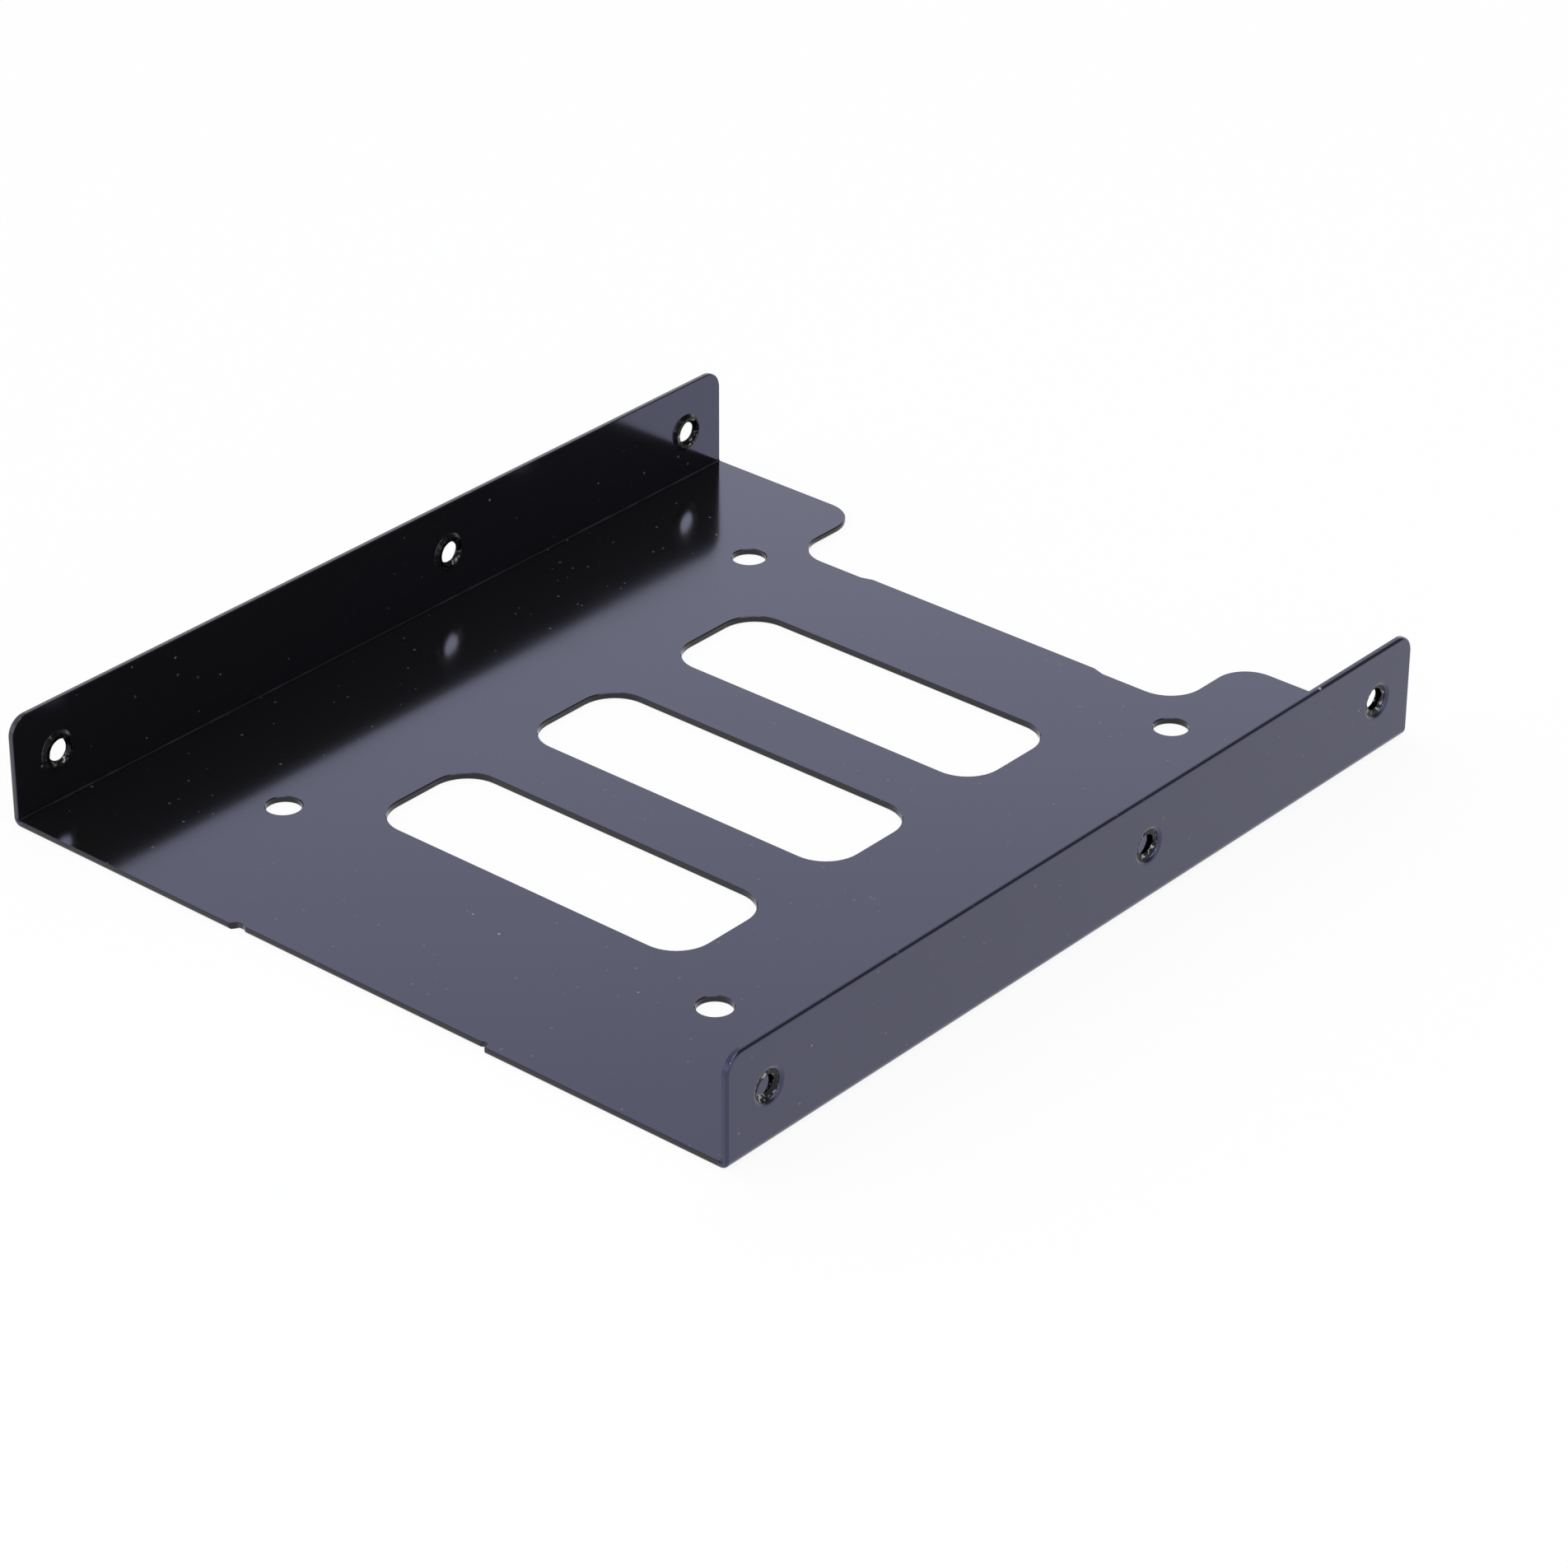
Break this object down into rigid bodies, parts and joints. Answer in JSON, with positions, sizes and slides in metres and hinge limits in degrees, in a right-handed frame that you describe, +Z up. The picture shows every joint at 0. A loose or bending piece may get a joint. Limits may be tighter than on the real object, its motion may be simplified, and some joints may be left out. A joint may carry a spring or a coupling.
{
  "type": "drive bay adapter bracket",
  "caption": "folded sheet metal bracket that carries a small drive on its slotted base and screws into a wider drive bay through tapped collars in its two side flanges",
  "frame": {"origin": "centre of the overall box in plan, on the underside of the base", "axes": "+Y from the straight front end of the base to the rear end with the cut-out, +Z up from the base along the flanges, +X to the right flange"},
  "size_m": [0.1016, 0.1142, 0.013],
  "materials": {
    "bracket": "gloss black paint"
  },
  "bodies": {
    "root": {"bracket": "bracket"}
  },
  "joints": []
}
